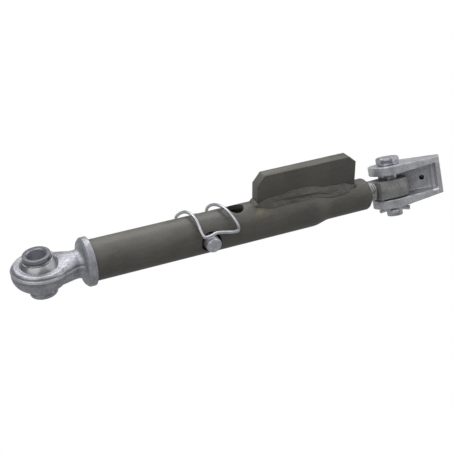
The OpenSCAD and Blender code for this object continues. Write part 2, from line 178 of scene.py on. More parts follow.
class Finish:
    """A material with one Principled shader, whose fixed values are set on its own sockets."""

    def __init__(self, name, **fixed):
        self.material = bpy.data.materials.new(name)
        self.material.use_nodes = True
        tree = self.material.node_tree
        self.shader = tree.nodes["Principled BSDF"]
        for socket, value in fixed.items():
            self.shader.inputs[socket.replace("_", " ")].default_value = value
        self.at = Flow(tree, tree.nodes.new("ShaderNodeTexCoord").outputs["Object"])

    def feed(self, **varying):
        for socket, flow in varying.items():
            self.at.tree.links.new(flow.socket, self.shader.inputs[socket.replace("_", " ")])

    def relief(self, height, depth):
        """Bump of that depth in metres, where height runs from 0 to 1."""
        self.feed(Normal=height.node(
            "ShaderNodeBump", None, {"Strength": 1.0, "Distance": depth, "Height": height}
        ))


def paint(name, dust=0.35, tint=None):
    """Satin olive grey paint with clouds, a fine peel, a little dust and perhaps a yellow spot."""
    finish = Finish(name, Metallic=0.0, IOR=1.5)
    clouds = finish.at.noise(24, 4).step(0.35, 0.68)
    specks = finish.at.noise(420, 3).step(0.45, 0.75)
    rolled = finish.at.stretched((0.25, 1, 1)).noise(260, 2).step(0.35, 0.7)
    base = (clouds * 0.7 + rolled * 0.3).colour(PAINT_DARK, PAINT_LIGHT)
    if tint:
        off = finish.at.moved(tint).stretched((0.6, 1, 1)).length()
        spot = 1 - off.step(TINT_FROM, TINT_TO)
        base = (spot * finish.at.noise(160, 3).step(0.35, 0.6) * 0.6).colour(base, PAINT_YELLOW)
    finish.feed(
        Base_Color=(specks * dust).colour(base, PAINT_DUST),
        Roughness=clouds * 0.10 + specks * 0.06 + 0.42,
    )
    finish.relief(finish.at.noise(900, 2) * 0.5 + rolled * 0.5, 0.00006)
    return finish.material


def dress(piece, material):
    """Gives a piece one material on every face."""
    piece.data.materials.clear()
    piece.data.materials.append(material)


def placed(name, mesh):
    piece = bpy.data.objects.new(name, mesh)
    bpy.context.scene.collection.objects.link(piece)
    return piece


def settled(piece, crease=35.0):
    """Turns a piece's modifiers into plain mesh, shaded smooth except at sharp creases."""
    bpy.context.view_layer.update()
    graph = bpy.context.evaluated_depsgraph_get()
    mesh = bpy.data.meshes.new_from_object(piece.evaluated_get(graph))
    if piece.type == "CURVE":
        name = piece.name
        bpy.data.objects.remove(piece)
        piece = placed(name, mesh)
    piece.modifiers.clear()
    piece.data = mesh
    mesh.polygons.foreach_set("use_smooth", [True] * len(mesh.polygons))
    mesh.set_sharp_from_angle(angle=radians(crease))
    return piece


def hand_over(piece, material, body, node):
    """The last step of a piece: its material, its body and the solid it stands for."""
    dress(piece, material)
    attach(piece, body)
    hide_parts(node)


def arc(centre, radius, start, end, steps):
    """Points on an arc in (radius, height), from one angle to another in degrees."""
    turn = (end - start) / steps
    return [(centre[0] + radius * cos(radians(start + turn * i)),
             centre[1] + radius * sin(radians(start + turn * i))) for i in range(steps + 1)]


def turned(name, outline, steps=96):
    """A turned ring about Z from a closed outline of (radius, height) points."""
    work = bmesh.new()
    rings = [[work.verts.new((r * cos(2 * pi * k / steps), r * sin(2 * pi * k / steps), z))
              for r, z in outline] for k in range(steps)]
    count = len(outline)
    for k in range(steps):
        here, there = rings[k], rings[(k + 1) % steps]
        for i in range(count):
            j = (i + 1) % count
            work.faces.new((here[i], here[j], there[j], there[i]))
    bmesh.ops.recalc_face_normals(work, faces=work.faces)
    mesh = bpy.data.meshes.new(name)
    work.to_mesh(mesh)
    work.free()
    return placed(name, mesh)


def rod(name, centre, axis, radius, length):
    """A plain round rod centred on a point."""
    half = length / 2
    outline = [(ON_AXIS, -half), (radius, -half), (radius, half), (ON_AXIS, half)]
    piece = turned(name, outline, 64)
    turn = Vector(axis).to_track_quat("Z", "Y").to_matrix().to_4x4()
    piece.data.transform(Matrix.Translation(centre) @ turn)
    return piece


def cut_by(piece, *cutters):
    """Cuts closed meshes out of a piece and removes them."""
    for cutter in cutters:
        saw = piece.modifiers.new(cutter.name, "BOOLEAN")
        saw.object = cutter
        saw.operation = "DIFFERENCE"
        saw.solver = "EXACT"
    settled(piece)
    for cutter in cutters:
        bpy.data.objects.remove(cutter)


def tube_radius(x):
    """Outer radius of the tube at x: the swage runs down to the neck in a soft S."""
    share = min(max((x - SWAGE_X + SWAGE_EASE) / (SWAGE_LEN + 2 * SWAGE_EASE), 0.0), 1.0)
    return tube_r + (NECK_R - tube_r) * share * share * (3 - 2 * share)


def tube_outline():
    """Half of the tube's section as (radius, x), outside first and then back along the bore."""
    start, end = tube_low.x, tube_high.x
    swage, neck = SWAGE_X - SWAGE_EASE, SWAGE_X + SWAGE_LEN + SWAGE_EASE
    along = range(1, LONG_STEPS + 1)
    down = (swage + (neck - swage) * i / SWAGE_STEPS for i in range(1, SWAGE_STEPS + 1))
    out = [(tube_r - TURNED_EDGE, start), (tube_r, start + TURNED_EDGE)]
    out += [(tube_r, start + (swage - start) * i / LONG_STEPS) for i in along]
    out += [(tube_radius(x), x) for x in down]
    out += [(NECK_R, neck + (end - NECK_ROUND - neck) * i / NECK_STEPS)
            for i in range(1, NECK_STEPS)]
    out += arc((NECK_R - NECK_ROUND, end - NECK_ROUND), NECK_ROUND, 0, 90, 8)
    out += [(NECK_BORE_R, end), (NECK_BORE_R, SWAGE_X + SWAGE_LEN), (TUBE_BORE_R, SWAGE_X)]
    out += [(TUBE_BORE_R, SWAGE_X - (SWAGE_X - start) * i / LONG_STEPS) for i in along]
    return out


tube_low, tube_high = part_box("outer_tube")
tube_r = tube_high.z
tube = turned("swaged_tube", tube_outline(), 128)
tube.data.transform(Matrix.Rotation(radians(90), 4, "Y"))
cut_by(
    tube,
    rod("sway_cut", (SWAY_X, 0, 0), (0, 1, 0), SWAY_HOLE_R, 4 * tube_r),
    rod("fixed_cut", (FIXED_X, 0, 0), (0, 0, 1), FIXED_HOLE_R, 4 * tube_r),
)
hand_over(tube, paint("tube_paint", tint=TINT_AT), "tube", "outer_tube")


# The turning plate: flat steel bar, sheared to length with its upper corners cut off and its
# edges barely broken. It is welded on top of the tube and painted together with it.
EDGE_BREAK = 0.7 * MM
EDGE_ANGLE = 40
JOIN_GAP = 0.002 * MM


def joined_copy(node):
    """A copy of a CAD node's mesh with its loose triangles joined."""
    mesh = solids[node].data.copy()
    work = bmesh.new()
    work.from_mesh(mesh)
    bmesh.ops.remove_doubles(work, verts=work.verts, dist=JOIN_GAP)
    work.to_mesh(mesh)
    work.free()
    mesh.materials.clear()
    return mesh


def broken_edges(name, node, width):
    """A copy of a node with its sharp edges bevelled by that width."""
    piece = placed(name, joined_copy(node))
    bevel = piece.modifiers.new("edge", "BEVEL")
    bevel.width = width
    bevel.segments = 2
    bevel.limit_method = "ANGLE"
    bevel.angle_limit = radians(EDGE_ANGLE)
    return settled(piece)


plate = broken_edges("turning_plate_bar", "turning_plate", EDGE_BREAK)
hand_over(plate, paint("plate_paint", dust=0.3), "tube", "turning_plate")


# The weld beads: hand laid steel fillets round the foot of the plate, two lumpy passes on each
# side and a small neat one across each end, painted over with the tube.
BEAD_STEP = 0.6 * MM
BEAD_AROUND = 48
END_SHARE = 0.4
LUMPS, LUMP_REST = 75.0, 0.55
STREAKS, STREAK_REST = 210.0, 0.5


def geometry_tree(name, sizes):
    """A new Geometry Nodes tree that takes a mesh and named sizes: (tree, the mesh, the sizes)."""
    tree = bpy.data.node_groups.new(name, "GeometryNodeTree")
    tree.interface.new_socket("Geometry", in_out="INPUT", socket_type="NodeSocketGeometry")
    tree.interface.new_socket("Geometry", in_out="OUTPUT", socket_type="NodeSocketGeometry")
    for size, value in sizes.items():
        socket = tree.interface.new_socket(size, in_out="INPUT", socket_type="NodeSocketFloat")
        socket.default_value = value
    entry = tree.nodes.new("NodeGroupInput")
    return tree, Flow(tree, entry.outputs[0]), {s: Flow(tree, entry.outputs[s]) for s in sizes}


def end_tree(mesh, material):
    """Closes a tree with Realize Instances and Set Material."""
    real = mesh.node("GeometryNodeRealizeInstances", None, {0: mesh})
    done = real.node("GeometryNodeSetMaterial", None, {"Geometry": real, "Material": material})
    leave = mesh.tree.nodes.new("NodeGroupOutput")
    mesh.tree.links.new(done.socket, leave.inputs[0])


def grown(piece, tree, sizes):
    """Runs a tree on a piece with those sizes and keeps the plain mesh."""
    modifier = piece.modifiers.new(tree.name, "NODES")
    modifier.node_group = tree
    for item in tree.interface.items_tree:
        if item.in_out == "INPUT" and item.name in sizes:
            modifier[item.identifier] = sizes[item.name]
    return settled(piece)


def bead_tree(material):
    """A fillet along a line of edges: nearly flat faced, drooping with the tube, and lumpy."""
    sizes = {"Leg": 7.6 * MM, "Hollow": 1.0, "Droop": 0.55, "Lump depth": 1.1 * MM,
             "Streak depth": 1.0 * MM, "Taper": 0.12, "Seed": 0.0}
    tree, line, size = geometry_tree("weld_bead", sizes)
    curve = line.node("GeometryNodeMeshToCurve", None, {0: line})
    even = curve.node(
        "GeometryNodeResampleCurve", {"mode": "LENGTH"}, {"Curve": curve, "Length": BEAD_STEP}
    )
    caught = tree.nodes.new("GeometryNodeCaptureAttribute")
    caught.capture_items.new("VECTOR", "core")
    caught.capture_items.new("FLOAT", "share")
    core = even.node("GeometryNodeInputPosition")
    share = even.node("GeometryNodeSplineParameter")
    for value, entry in zip((even, core, share), caught.inputs):
        tree.links.new(value.socket, entry)
    even, core, share = (Flow(tree, caught.outputs[i]) for i in range(3))
    ring = even.node("GeometryNodeCurvePrimitiveCircle", None,
                     {"Resolution": BEAD_AROUND, "Radius": size["Leg"]})
    body = even.node("GeometryNodeCurveToMesh", None,
                     {"Curve": even, "Profile Curve": ring, "Fill Caps": True})
    at = body.node("GeometryNodeInputPosition")
    arm = at.moved(core)
    aside = arm.stretched((1, 1, 0)).length()
    upright = arm.part(2).absolute()
    taper = size["Taper"] + 0.001
    ends = share.step(0, taper) * (1 - share).step(0, taper)
    flat = arm.maths("POWER", arm.length() / (aside + upright), size["Hollow"])
    flat = flat * (END_SHARE + ends * (1 - END_SHARE))
    sunk = aside * flat * size["Droop"]
    reach = arm.scaled(flat)
    shaped = body.node("GeometryNodeSetPosition", None, {
        "Geometry": body,
        "Position": core.vector("ADD", {1: reach}),
        "Offset": sunk.node("ShaderNodeCombineXYZ", None, {2: sunk * -1.0}),
    })
    lumps = at.node("ShaderNodeTexNoise", {"noise_dimensions": "4D"},
                    {"Vector": at, "W": size["Seed"], "Scale": LUMPS, "Detail": 2.0})
    drawn = at.stretched((0.3, 1, 1))
    streaks = at.node("ShaderNodeTexNoise", {"noise_dimensions": "4D"},
                      {"Vector": drawn, "W": size["Seed"] + 5.0, "Scale": STREAKS, "Detail": 1.5})
    swell = (lumps - LUMP_REST) * 2.0 * size["Lump depth"]
    swell = swell + (streaks - STREAK_REST) * 2.0 * size["Streak depth"]
    push = at.node("GeometryNodeInputNormal").scaled(swell)
    lumpy = shaped.node("GeometryNodeSetPosition", None, {"Geometry": shaped, "Offset": push})
    end_tree(lumpy, material)
    return tree


bead_paint = paint("bead_paint", dust=0.5)
bead = bead_tree(bead_paint)


def bead_along(name, points, sizes):
    """Lays a bead along some points."""
    mesh = bpy.data.meshes.new(name)
    mesh.from_pydata(points, [(i, i + 1) for i in range(len(points) - 1)], [])
    return grown(placed(name, mesh), bead, sizes)


def merged(piece, *others):
    """Adds the meshes of other pieces to a piece and removes those."""
    work = bmesh.new()
    for part in (piece, *others):
        work.from_mesh(part.data)
    work.to_mesh(piece.data)
    work.free()
    for part in others:
        bpy.data.objects.remove(part)
    return piece


def softened(piece, voxel, rounds):
    """Puts a skin of small quads over a closed piece and smooths it, so its edges run soft."""
    clay = piece.modifiers.new("clay", "REMESH")
    clay.mode = "VOXEL"
    clay.voxel_size = voxel
    wear_and_painted_light = piece.modifiers.new("wear_and_painted_light", "SMOOTH")
    wear_and_painted_light.factor = 0.5
    wear_and_painted_light.iterations = rounds
    return settled(piece)


def foot_height(x, y):
    """Height of the tube beside its top line, at a distance y from it."""
    return sqrt(tube_radius(x) ** 2 - y * y)


plate_low, plate_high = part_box("turning_plate")
SIDE_STEPS = 24
END_SHY = 0.2 * MM
ROOT_UP = 0.7 * MM
COVER_FROM, COVER_TO = 4, -3
COVER_UP, COVER_WAVE, WAVE_TURN = 4.8, 0.8, 0.08
COVER_PASS = {"Leg": 5.6 * MM, "Hollow": 0.9, "Droop": 0.4, "Taper": 0.25}
END_REACH = 2.4 * MM
END_PASS = {"Leg": 4.6 * MM, "Lump depth": 0.3 * MM, "Streak depth": 0.1 * MM, "Droop": 0.0,
            "Taper": 0.15}

for node, y, seed in (("weld_front", plate_low.y, 1.0), ("weld_rear", plate_high.y, 2.0)):
    start, run = plate_low.x + END_SHY, plate_high.x - plate_low.x - END_SHY - END_SHY
    xs = [start + run * i / SIDE_STEPS for i in range(SIDE_STEPS + 1)]
    root = [(x, y, foot_height(x, y) + ROOT_UP) for x in xs]
    cover = [
        (x, y, foot_height(x, y) + (COVER_UP + COVER_WAVE * sin(x / MM * WAVE_TURN + seed)) * MM)
        for x in xs[COVER_FROM:COVER_TO]
    ]
    piece = merged(
        bead_along(node + "_passes", root, {"Seed": seed}),
        bead_along("cover", cover, {**COVER_PASS, "Seed": seed + 3.0}),
    )
    piece = softened(piece, voxel=0.45 * MM, rounds=9)
    hand_over(piece, bead_paint, "tube", node)

for node, x, seed in (("weld_near_end", plate_low.x, 3.0), ("weld_far_end", plate_high.x, 4.0)):
    reach = (plate_low.y - END_REACH, plate_low.y, 0.0, plate_high.y, plate_high.y + END_REACH)
    line = [(x, y, foot_height(x, y)) for y in reach]
    piece = bead_along(node + "_pass", line, {**END_PASS, "Seed": seed})
    piece = softened(piece, voxel=0.4 * MM, rounds=4)
    hand_over(piece, bead_paint, "tube", node)


# The eye forging: a drop forged steel eye, neck and stop collar, its flash trimmed at the
# parting line, shot blasted and zinc plated to a dull blue grey. It sits on the slide bar's end.
ZINC_DARK = (0.255, 0.260, 0.288)
ZINC_LIGHT = (0.455, 0.460, 0.500)
# Dark grey of pits and of steel under thin grease, and of painted shade in the eye's hollows.
ZINC_PITS_AND_SHADE = (0.130, 0.132, 0.140)
# A painted highlight on the trimmed flash ridge, with painted shade in the hollows beside it.
FLASH_HIGHLIGHT = (0.62, 0.63, 0.67)
FLASH_UP, FLASH_DROP, FLASH_END = 6.4 * MM, 2.2 * MM, 47.0 * MM
FLASH_LEVEL, FLASH_FALL = 23 * MM, 20 * MM
RIDGE = (0.0, 0.3 * MM, 0.7 * MM)
UPPER_HOLLOW = (2.5 * MM, 0.4 * MM, 1.0 * MM)
LOWER_HOLLOW = (-3.0 * MM, 1.0 * MM, 2.2 * MM)
UPPER_DENT, LOWER_DENT = 0.45 * MM, 0.35 * MM
# Where painted highlights run along the eye's two upper edges: radius and lowest height.
UPPER_EDGE, LOWER_EDGE = (27.6 * MM, 10.5 * MM), (31.4 * MM, 7.4 * MM)
EDGE_FROM, EDGE_TO = 18 * MM, 26 * MM
EYE_UP, EYE_FOOT = 12.2 * MM, -11.6 * MM
EYE_PLUG_R, EYE_PLUG_SHY = 23.5 * MM, 0.1 * MM
SEAT_R = 25.1 * MM
SKIN_REST = 0.65
SHOULDER = (
    ((0, 0, 9.0 * MM), (0, 0, 1), 29.0 * MM),
    ((0, 0, -6.5 * MM), (0, 0, 1), 28.5 * MM),
    ((42.0 * MM, 0, 0), (1, 0, 0), 15.6 * MM),
)


def dull_zinc(name, low=ZINC_DARK, high=ZINC_LIGHT):
    """Dull zinc on a forging, cloudy and pitted. Its colour and skin are kept to add painted light to."""
    finish = Finish(name, Metallic=0.7, IOR=1.6)
    clouds = finish.at.noise(55, 4).step(0.34, 0.66)
    fine = finish.at.noise(330, 4).step(0.3, 0.7)
    pits = finish.at.noise(520, 2).step(0.62, 0.74)
    base = (clouds * 0.5 + fine * 0.5).colour(low, high)
    finish.base = (pits * 0.6).colour(base, ZINC_PITS_AND_SHADE)
    finish.feed(Base_Color=finish.base, Roughness=0.46 - fine * 0.10 + pits * 0.15)
    finish.skin = fine * 0.5 + finish.at.noise(1300, 2) * 0.3 - pits * 0.2
    finish.relief(finish.skin, 0.00018)
    return finish


def skin_tree(material):
    """Raises and lowers a forging's skin with slow noise along its normals."""
    tree, mesh, size = geometry_tree("forging_skin", {"Depth": 0.2 * MM, "Lumps": 90.0})
    at = mesh.node("GeometryNodeInputPosition")
    slow = at.noise(size["Lumps"], 3.0)
    push = at.node("GeometryNodeInputNormal").scaled((slow - SKIN_REST) * 2.0 * size["Depth"])
    moved = mesh.node("GeometryNodeSetPosition", None, {"Geometry": mesh, "Offset": push})
    end_tree(moved, material)
    return tree


def line_at(height, off, half, fade):
    """1 within that half width of an offset, fading smoothly to 0."""
    return 1 - (height - off).absolute().step(half, half + fade)


def eye_zinc():
    """Dull zinc with a painted highlight on the trimmed flash ridge and painted shade in the two
    hollows beside it, and with painted highlights along the eye's two upper edges."""
    finish = dull_zinc("eye_zinc")
    along, up = finish.at.part(0), finish.at.part(2)
    fall = along.step(FLASH_END - FLASH_LEVEL - FLASH_FALL, FLASH_END - FLASH_LEVEL)
    height = up - (FLASH_UP - fall * FLASH_DROP)
    ahead = 1 - along.step(FLASH_END - 2 * MM, FLASH_END + 2 * MM)
    # Painted highlight along the flash ridge, and painted shade along the hollows above and below it.
    light = line_at(height, *RIDGE) * ahead
    dark = line_at(height, *UPPER_HOLLOW) * ahead
    lower_hollow_shade = line_at(height, *LOWER_HOLLOW) * ahead
    out = finish.at.stretched((1, 1, 0)).length()
    # Painted highlights along the eye's two upper edges, near the front only.
    for radius, low in (UPPER_EDGE, LOWER_EDGE):
        on_edge = up.step(low, low + 0.4 * MM) * (1 - along.step(EDGE_FROM, EDGE_TO))
        wear_and_painted_light = line_at(out, radius, 0.3 * MM, 0.5 * MM) * on_edge * 0.5
        light = light.maths("MAXIMUM", light, wear_and_painted_light)
    # The hollows' painted shade first, then the painted highlights of the ridge and the upper edges.
    shaded_hollows = (dark * 0.55 + lower_hollow_shade * 0.28).colour(finish.base, ZINC_PITS_AND_SHADE)
    finish.feed(
        Base_Color=(light * 0.7).colour(shaded_hollows, FLASH_HIGHLIGHT),
        Roughness=0.50 - finish.skin * 0.14,
    )
    return finish.material


def dent(height, off, half, fade):
    """The same line as a plain number."""
    share = min(1.0, max(0.0, (abs(height - off) - half) / fade))
    return 1 - share * share * (3 - 2 * share)


def hollowed(piece):
    """Presses the two hollows beside the trimmed flash into the forging's sides."""
    outward = [vertex.normal.copy() for vertex in piece.data.vertices]
    for vertex, normal in zip(piece.data.vertices, outward):
        x, y, z = vertex.co
        faces_up = abs(normal.z) > 0.9
        if x > FLASH_END or hypot(x, y) < SEAT_R or faces_up:
            continue
        height = z - FLASH_UP + dent(x, FLASH_END, FLASH_LEVEL, FLASH_FALL) * FLASH_DROP
        deep = UPPER_DENT * dent(height, *UPPER_HOLLOW)
        deep += LOWER_DENT * dent(height, *LOWER_HOLLOW)
        vertex.co -= normal * deep


def forged(name, node, material, voxel, rounds, depth, lumps=90.0, added=()):
    """A forged copy of a node and any added lumps: its edges run soft, its skin is uneven."""
    piece = softened(merged(placed(name, joined_copy(node)), *added), voxel, rounds)
    return grown(piece, skin_tree(material), {"Depth": depth, "Lumps": lumps})


def hull(name, points):
    """The convex skin round some points."""
    work = bmesh.new()
    for point in points:
        work.verts.new(point)
    bmesh.ops.convex_hull(work, input=work.verts)
    bmesh.ops.recalc_face_normals(work, faces=work.faces)
    mesh = bpy.data.meshes.new(name)
    work.to_mesh(mesh)
    work.free()
    return placed(name, mesh)


def circle(centre, axis, radius, count=48):
    """Points round a circle."""
    turn = Vector(axis).to_track_quat("Z", "Y").to_matrix()
    for k in range(count):
        spoke = Vector((cos(2 * pi * k / count), sin(2 * pi * k / count), 0)) * radius
        yield Vector(centre) + turn @ spoke


shoulder = hull("shoulder", [point for ring in SHOULDER for point in circle(*ring)])
plug_at, plug_length = (0, 0, (EYE_UP + EYE_FOOT) / 2), EYE_UP - EYE_FOOT - EYE_PLUG_SHY
plug = rod("plug", plug_at, (0, 0, 1), EYE_PLUG_R, plug_length)
eye_skin = eye_zinc()
eye = forged("ball_eye_forging", "eye_forging", eye_skin, voxel=0.6 * MM, rounds=2,
             depth=0.16 * MM, lumps=70.0, added=(shoulder, plug))
hollowed(eye)
cut_by(eye, turned("seat", arc((0, 0), SEAT_R, -89.9, 89.9, 60)))
hand_over(eye, eye_skin, "ball_end", "eye_forging")


# The slide bar: turned steel bar behind the eye's collar, greased where it runs in the tube.
# It is seen only down the cross holes and where it comes out of the tube.
# Grease on the slide bar, and painted shade, nearly black, in the bracket's blind hole.
GREASE_AND_SHADE = (0.045, 0.042, 0.036)


def greased_bar():
    """Turned steel under a dark film of grease."""
    finish = Finish("greased_bar", Metallic=0.6)
    rings = finish.at.stretched((1, 0.05, 0.05)).noise(1500, 1)
    film = finish.at.noise(70, 3).step(0.35, 0.7)
    finish.feed(Base_Color=film.colour(GREASE_AND_SHADE, ZINC_PITS_AND_SHADE), Roughness=rings * 0.1 + 0.3)
    finish.relief(rings, 0.00004)
    return finish.material


dress(solids["slide_bar"], greased_bar())


# The swivel ball: bearing steel, turned, hardened and polished, with a hub on both sides and
# a groove where each hub meets the ball. The eye's rims hold it in.
BALL_R = 25.0 * MM
BALL_BORE_R = 11.2 * MM
HUB_R = 16.0 * MM
HUB_FACE = 25.5 * MM
BALL_TILT = 5.0
GROOVE_R = 1.8 * MM
CHAMFER = 0.7 * MM
STEEL_BRIGHT = (0.40, 0.405, 0.425)
STEEL_GREY = (0.27, 0.275, 0.29)
BORE_GREY = (0.62, 0.62, 0.66)
# Painted shade on the upper hub's side and on the hubs' faces.
HUB_SHADE_GREY = (0.13, 0.135, 0.15)


def ball_outline():
    """Half of the ball's section, from the middle of the bore round to the middle of the dome."""
    foot = sqrt(BALL_R ** 2 - HUB_R ** 2)
    groove = (HUB_R + GROOVE_R / 2, foot + GROOVE_R / 2)
    out = [
        (BALL_BORE_R, 0.0), (BALL_BORE_R, HUB_FACE - 1.6 * CHAMFER),
        (BALL_BORE_R + CHAMFER, HUB_FACE - 0.2 * CHAMFER),
        (BALL_BORE_R + 1.3 * CHAMFER, HUB_FACE),
    ]
    out += arc((HUB_R - CHAMFER, HUB_FACE - CHAMFER), CHAMFER, 90, 0, 4)
    out += arc(groove, GROOVE_R, 120, 273, 12)
    out += [(BALL_R * cos(radians(a)), BALL_R * sin(radians(a))) for a in range(46, 0, -2)]
    return out


def polished_steel():
    """Steel: glossy on the hubs' sides, softer on the dome, dull on faces and bore, with painted
    shade on the upper hub's side and on the hub faces.
    """
    finish = Finish("polished_steel", Metallic=1.0)
    tilt = radians(BALL_TILT)
    height = (finish.at.part(2) * cos(tilt) - finish.at.part(0) * sin(tilt)).absolute()
    whole = finish.at.length()
    out = whole.maths("SQRT", whole * whole - height * height)
    rings = finish.at.stretched((0.04, 0.04, 1)).noise(1100, 2)
    smear = finish.at.noise(90, 3).step(0.35, 0.7)
    inside = 1 - out.step(BALL_BORE_R + 0.1 * MM, BALL_BORE_R + 0.4 * MM)
    face = height.step(HUB_FACE - 0.3 * MM, HUB_FACE - 0.1 * MM)
    dome = out.step(HUB_R + 0.5 * MM, HUB_R + 1.5 * MM)
    # Painted shade on the upper hub's side below the dome, and on both hub faces.
    upper_hub_shade = (1 - dome) * finish.at.part(2).step(0, 1 * MM)
    polished = (smear * 0.6 + rings * 0.4).colour(STEEL_GREY, STEEL_BRIGHT)
    shaded = (upper_hub_shade * 0.6 + face * 0.35).colour(polished, HUB_SHADE_GREY)
    finish.feed(
        Base_Color=inside.colour(shaded, BORE_GREY),
        Roughness=smear * 0.08 + rings * 0.06 + 0.13 + inside * 0.3 + dome * 0.11 + face * 0.22,
    )
    finish.relief(rings, 0.00003)
    return finish.material


upper = ball_outline()
lower = [(r, -z) for r, z in reversed(upper) if abs(z) > 1e-9]
ball = turned("swivel_ball_turned", upper + lower, 128)
ball.data.transform(Matrix.Rotation(radians(-BALL_TILT), 4, "Y"))
settled(ball, crease=30)
hand_over(ball, polished_steel(), "ball", "swivel_ball")


# The lock pin: round steel bar with a forged head behind the tube and a rough sheared end in
# front, dull zinc plated. It goes through the tube and the bar's slot.
PIN_DARK, PIN_LIGHT = (0.31, 0.315, 0.345), (0.62, 0.625, 0.67)

pin_zinc = dull_zinc("pin_zinc", PIN_DARK, PIN_LIGHT).material
pin = forged("lock_pin_forged", "lock_pin", pin_zinc, voxel=0.5 * MM, rounds=3, depth=0.22 * MM,
             lumps=190.0)
hand_over(pin, pin_zinc, "lock_pin", "lock_pin")


# The wire bow: spring steel wire, bent cold and bright zinc plated, its ends turned into the
# stub of the lock pin. It snaps down over the pin's front end.
ZINC_BRIGHT = (0.58, 0.59, 0.62)
ZINC_SHADE = (0.42, 0.43, 0.46)
WIRE_D = 3.8 * MM
PIN_X = 198.5 * MM
PIN_R = 9.35 * MM
PIVOT_Y = 32.45 * MM
BOW_HALF, BOW_SPLAY, BOW_LEAN = 20.0, 2.0, 10.0
BOW_REACH, BOW_RISE = 4.4, 6.4
BOW_GAP = 0.3


def bright_zinc(name, rough=0.32, low=ZINC_SHADE, high=ZINC_BRIGHT):
    """Bright zinc on drawn or turned steel: smooth, with a little haze."""
    finish = Finish(name, Metallic=0.95)
    drawn = finish.at.noise(420, 2).step(0.25, 0.75)
    haze = finish.at.noise(150, 3).step(0.3, 0.7)
    finish.feed(
        Base_Color=(drawn * 0.3 + haze * 0.7).colour(low, high),
        Roughness=haze * 0.10 + drawn * 0.04 + rough,
    )
    finish.relief(drawn, 0.00001)
    return finish.material


def bow_route():
    """The route of the part's own wire, in millimetres from the pin's axis."""
    tube, pivot = tube_r / MM, PIVOT_Y / MM
    front, top = tube + BOW_REACH, tube + BOW_RISE
    bar = (PIN_R + WIRE_D / 2) / MM + BOW_GAP
    left, right, half = BOW_LEAN - BOW_HALF - BOW_SPLAY, BOW_LEAN + BOW_HALF + BOW_SPLAY, BOW_HALF
    return [
        (-1.5, pivot, 0), (-half, pivot, 0), (-half, pivot + 5, 7),
        (-half + 0.5, tube + 1, top - 12), (-half + 2.5, tube / 2, top - 3),
        (-half + 5, -1, top - 0.5), (left - 1.5, -tube / 2 - 1, top - 4),
        (left - 1, -tube + 3.5, top - 12), (left, -front, bar + 1), (left + 4, -front, bar),
        (left + 9.5, -front, bar), (left + 15, -front, bar + 3), (left + 23, -front, bar + 2),
        (right - 2, -front, bar - 2.5), (right + 1, -front, bar),
        (right + 0.5, -front + 2.5, top - 13), (right - 3, -tube + 8.5, top - 4.5),
        (right - 6.5, -5, top - 0.5), (half + 2.5, tube / 2 - 3, top - 2),
        (half + 0.5, tube, top - 9.5), (half, pivot + 4, 9), (half, pivot, 0), (1.5, pivot, 0),
    ]


def bent_wire(name, route, diameter):
    """A round wire along a smooth curve held by the route's points."""
    curve = bpy.data.curves.new(name, "CURVE")
    curve.dimensions = "3D"
    spline = curve.splines.new("NURBS")
    spline.points.add(len(route) - 1)
    for point, (x, y, z) in zip(spline.points, route):
        point.co = (PIN_X + x * MM, y * MM, z * MM, 1.0)
    spline.order_u = 3
    spline.use_endpoint_u = True
    spline.resolution_u = 8
    curve.bevel_depth = diameter / 2
    curve.bevel_resolution = 6
    curve.use_fill_caps = True
    return settled(placed(name, curve))


bow = bent_wire("wire_bow_bent", bow_route(), WIRE_D)
hand_over(bow, bright_zinc("bow_zinc"), "bow", "wire_bow")


# The spindle's thread: steel rod, thread rolled and zinc plated, screwed into the tube's neck.
# The thread is a helix of one start, 3 mm a turn.
THREAD_R = 12.0 * MM
THREAD_PITCH = 3.0 * MM
THREAD_DEPTH = 1.6 * MM
THREAD_FLANK = (0.15, 0.85)
THREAD_CHAMFER = 1.5 * MM
THREAD_ROWS, THREAD_AROUND = 330, 72
THREAD_DARK, THREAD_LIGHT = (0.38, 0.39, 0.385), (0.60, 0.61, 0.60)


def thread_tree(material):
    """A threaded rod along X: a grid rolled into a tube whose radius follows the helix."""
    sizes = {"Start": 0.3, "Length": 0.1, "Radius": THREAD_R, "Pitch": THREAD_PITCH,
             "Depth": THREAD_DEPTH}
    tree, start, size = geometry_tree("rolled_thread", sizes)
    grid = start.node("GeometryNodeMeshGrid", None, {
        "Size X": 1.0, "Size Y": 1.0,
        "Vertices X": THREAD_ROWS + 3, "Vertices Y": THREAD_AROUND + 1,
    })
    at = grid.node("GeometryNodeInputPosition")
    row = (at.part(0) + 0.5) * (THREAD_ROWS + 2)
    along = at.maths("MINIMUM", at.maths("MAXIMUM", (row - 1) / THREAD_ROWS, 0.0), 1.0)
    turn = at.part(1)
    run = along * size["Length"]
    flank = at.maths("PINGPONG", run / size["Pitch"] + turn, 0.5) * 2.0
    groove = flank.step(*THREAD_FLANK)
    to_end = at.maths("MINIMUM", run, size["Length"] - run)
    crest = at.maths("MINIMUM", size["Radius"], size["Radius"] - THREAD_CHAMFER + to_end)
    closed = at.maths("GREATER_THAN", row, 0.5) * at.maths("LESS_THAN", row, THREAD_ROWS + 1.5)
    radius = (crest - groove * size["Depth"]) * closed
    angle = turn * (2 * pi)
    place = at.node("ShaderNodeCombineXYZ", None, {
        0: size["Start"] + run,
        1: radius * at.maths("SINE", angle),
        2: radius * at.maths("COSINE", angle),
    })
    rolled = grid.node("GeometryNodeSetPosition", None, {"Geometry": grid, "Position": place})
    sewn = rolled.node(
        "GeometryNodeMergeByDistance", None, {"Geometry": rolled, "Distance": JOIN_GAP}
    )
    end_tree(sewn, material)
    return tree


def outward(piece):
    """Recalculates the normals of a closed piece so that its faces point outwards."""
    work = bmesh.new()
    work.from_mesh(piece.data)
    bmesh.ops.recalc_face_normals(work, faces=work.faces)
    work.to_mesh(piece.data)
    work.free()
    return piece


